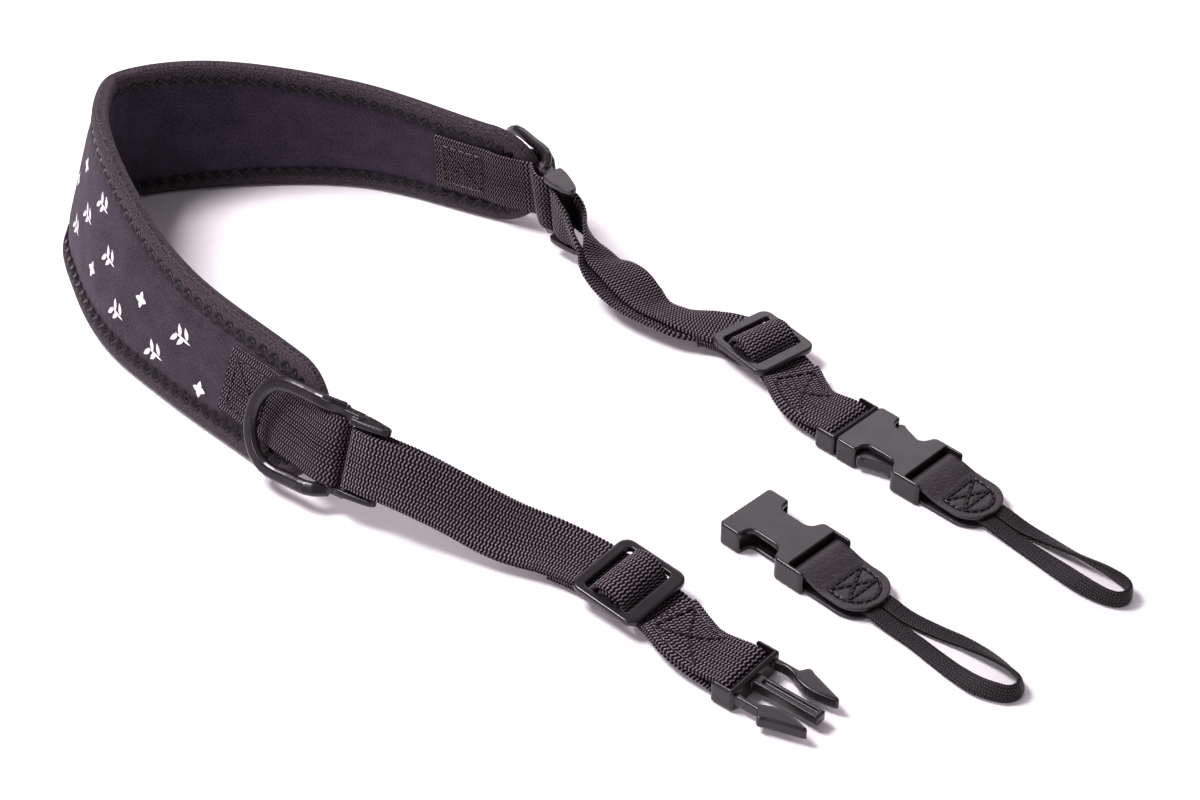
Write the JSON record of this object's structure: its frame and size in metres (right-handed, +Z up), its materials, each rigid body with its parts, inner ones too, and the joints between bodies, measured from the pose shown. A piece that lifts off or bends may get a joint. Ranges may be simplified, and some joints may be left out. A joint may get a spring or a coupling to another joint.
{
  "type": "binocular neck strap",
  "caption": "Bound foam neck pad with webbing straps, sliders and quick-release buckles, lying curled on a table.",
  "frame": {"origin": "centre of the base on the table, under the middle of the laid-out strap without its cord loops", "axes": "+Z up from the table; +Y away from the person looking at the open side of the U; +X towards the connectors"},
  "size_m": [0.3674, 0.3016, 0.0663],
  "materials": {
    "pad_cloth": "matte knit, heathered, with small pale motifs",
    "binding_knit": "matte knit with a shiny zigzag seam",
    "tab_webbing": "ribbed webbing",
    "strap_webbing": "ribbed webbing",
    "acetal": "satin",
    "leather": "grained",
    "braid": "fine braid"
  },
  "bodies": {
    "root": {"neck_pad": "pad_cloth", "edge_binding": "binding_knit", "tab_webbing_front": "tab_webbing", "tab_webbing_back": "tab_webbing", "ring_front": "acetal", "ring_back": "acetal", "strap_webbing_front": "strap_webbing", "strap_webbing_back": "strap_webbing", "slider_front": "acetal", "slider_back": "acetal", "male_buckle_front": "acetal", "male_buckle_back": "acetal", "female_buckle_back": "acetal", "female_buckle_loose": "acetal", "leather_tab_back": "leather", "leather_tab_loose": "leather", "cord_loop_back": "braid", "cord_loop_loose": "braid"}
  },
  "joints": []
}
